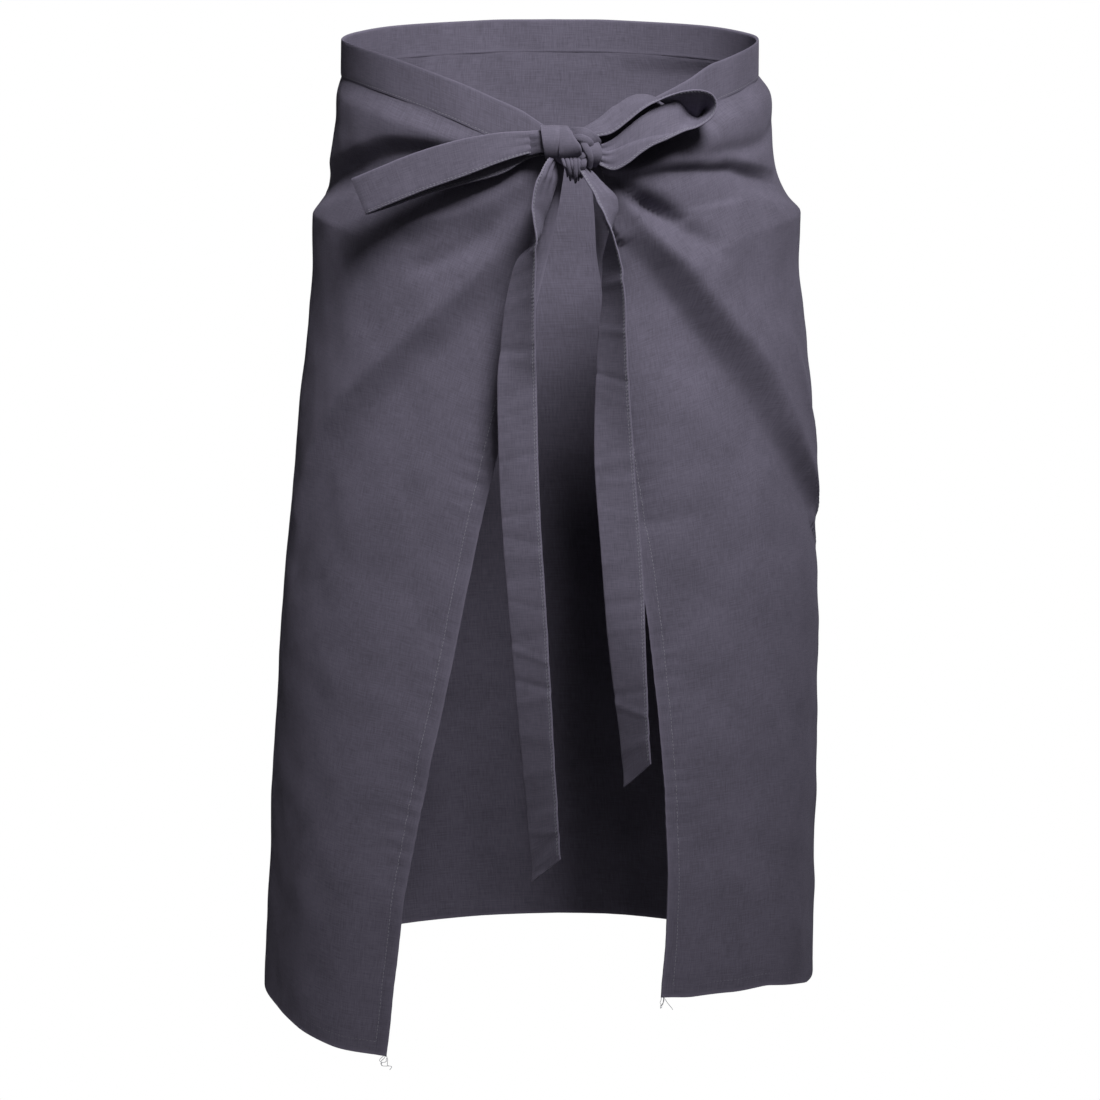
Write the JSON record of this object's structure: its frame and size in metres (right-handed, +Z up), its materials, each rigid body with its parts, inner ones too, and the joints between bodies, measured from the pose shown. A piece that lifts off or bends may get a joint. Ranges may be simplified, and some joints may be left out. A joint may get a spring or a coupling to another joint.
{
  "type": "waist apron tied behind",
  "caption": "Knee-length waist apron as worn: a cloth wrapped round the hips on a waistband, open behind, its ties knotted in a bow with two hanging ends.",
  "frame": {"origin": "middle of the waist opening, at the height of the waistband's middle at the wearer's two sides", "axes": "+Z up, +Y towards the wearer's front, +X to the wearer's right side; the bow is on the -Y side"},
  "size_m": [0.4705, 0.3098, 0.88],
  "materials": {
    "cloth": "slate grey plain-woven polyester and cotton, matt with a faint sheen",
    "tie_cloth": "the same slate grey cloth, folded and stitched",
    "thread": "slate grey sewing thread, a little paler than the cloth"
  },
  "bodies": {
    "root": {"skirt": "cloth", "waistband": "cloth", "bow_knot": "tie_cloth", "bow_loop_left": "tie_cloth", "bow_loop_right": "tie_cloth", "tie_tail_left": "tie_cloth", "tie_tail_right": "tie_cloth"}
  },
  "joints": []
}
